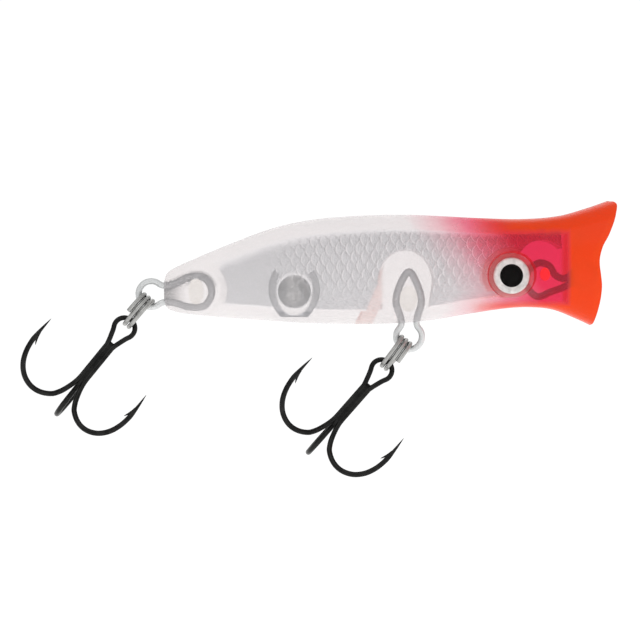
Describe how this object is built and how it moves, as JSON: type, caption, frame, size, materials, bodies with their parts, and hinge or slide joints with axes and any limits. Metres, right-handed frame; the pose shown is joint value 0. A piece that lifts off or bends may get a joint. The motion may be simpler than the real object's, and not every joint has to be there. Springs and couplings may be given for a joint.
{
  "type": "topwater popper lure",
  "caption": "Clear floating popper lure with a cupped mouth, domed eyes, an internal rattle and treble hooks swinging on split rings.",
  "frame": {"origin": "centre of the line-tie eye in the mouth cup", "axes": "+X out of the mouth along the body, +Y to the lure's left side, +Z to its back"},
  "size_m": [0.0785, 0.0149, 0.0364],
  "materials": {
    "clear_plastic": "clear moulded plastic, pearl tinted, pink to orange-red at the head, high gloss",
    "hanger_wire": "bright drawn stainless wire",
    "split_ring_steel": "satin stainless",
    "black_nickel": "black nickel plating, semi-gloss",
    "eye_foil": "silver foil with a printed black pupil",
    "eye_resin": "clear domed resin",
    "rattle_steel": "polished bearing ball"
  },
  "bodies": {
    "body": {"right_body_shell": "clear_plastic", "left_body_shell": "clear_plastic", "line_tie_wire": "hanger_wire", "belly_hanger": "hanger_wire", "tail_hanger": "hanger_wire", "right_eye_foil": "eye_foil", "left_eye_foil": "eye_foil", "right_eye_dome": "eye_resin", "left_eye_dome": "eye_resin"},
    "ball": {"rattle_ball": "rattle_steel"},
    "belly_ring": {"belly_split_ring": "split_ring_steel"},
    "belly_treble": {"belly_treble_double": "black_nickel", "belly_treble_single": "black_nickel"},
    "tail_ring": {"tail_split_ring": "split_ring_steel"},
    "tail_treble": {"tail_treble_double": "black_nickel", "tail_treble_single": "black_nickel"}
  },
  "joints": [
    {"name": "ball_rattle", "type": "slide", "parent": "body", "child": "ball", "axis": [0, 1, 0], "range_m": [-0.001, 0.001]},
    {"name": "belly_ring_swing", "type": "hinge", "parent": "body", "child": "belly_ring", "pos_m": [-0.02346, 0, -0.00813], "axis": [0, 1, 0], "range_deg": [-100, 20]},
    {"name": "belly_hook_swing", "type": "hinge", "parent": "belly_ring", "child": "belly_treble", "pos_m": [-0.02533, 0, -0.01042], "axis": [0.7749, 0, -0.632], "range_deg": [-30, 45]},
    {"name": "tail_ring_swing", "type": "hinge", "parent": "body", "child": "tail_ring", "pos_m": [-0.0578, 0, -0.00247], "axis": [0, 1, 0], "range_deg": [-60, 150]},
    {"name": "tail_hook_swing", "type": "hinge", "parent": "tail_ring", "child": "tail_treble", "pos_m": [-0.05963, 0, -0.0048], "axis": [0.7859, 0, -0.6184], "range_deg": [-30, 45]}
  ]
}
